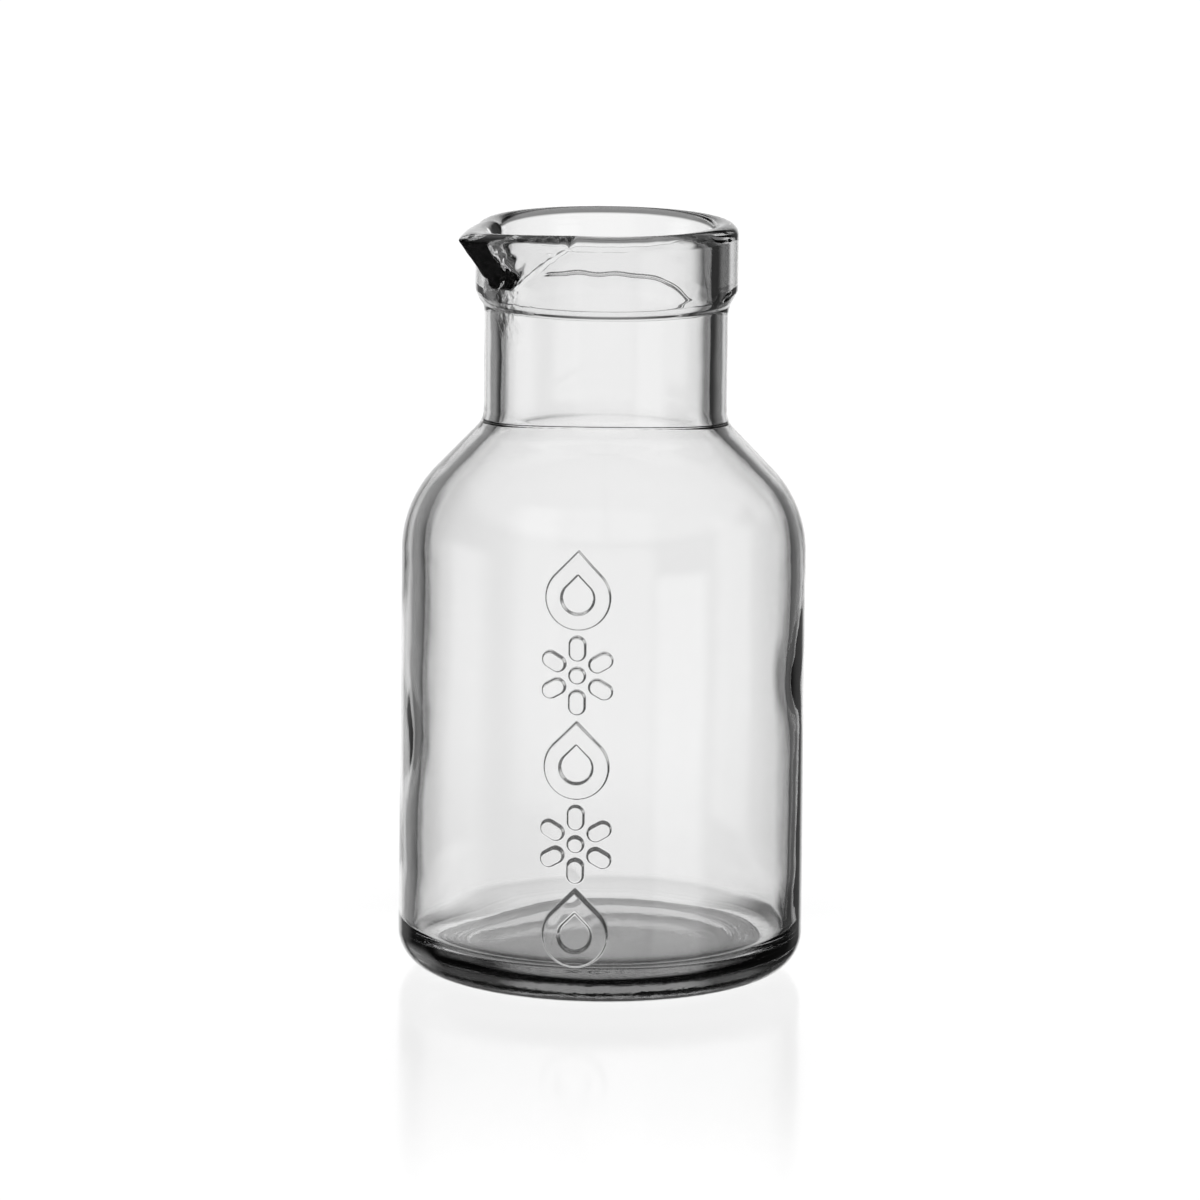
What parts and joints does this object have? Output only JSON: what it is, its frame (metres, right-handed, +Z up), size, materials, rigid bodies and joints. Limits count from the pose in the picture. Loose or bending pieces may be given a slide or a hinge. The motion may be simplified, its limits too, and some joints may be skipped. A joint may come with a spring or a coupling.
{
  "type": "glass milk bottle",
  "caption": "Small clear glass milk bottle with a wide neck, a banded collar, a pinched pouring spout and a column of raised drops and flowers.",
  "frame": {"origin": "centre of the base, on the surface the bottle stands on", "axes": "+Z up along the bottle's axis, -Y towards the front with the raised ornaments, spout at 218 degrees counter-clockwise from +X"},
  "size_m": [0.07, 0.0707, 0.13],
  "materials": {
    "clear_glass": "clear moulded soda-lime glass, polished, slightly uneven"
  },
  "bodies": {
    "root": {"base": "clear_glass", "heel": "clear_glass", "body_wall": "clear_glass", "shoulder": "clear_glass", "neck": "clear_glass", "collar": "clear_glass", "rim": "clear_glass", "pour_spout": "clear_glass", "raised_drop_bottom": "clear_glass", "raised_flower_lower": "clear_glass", "raised_drop_middle": "clear_glass", "raised_flower_upper": "clear_glass", "raised_drop_top": "clear_glass"}
  },
  "joints": []
}
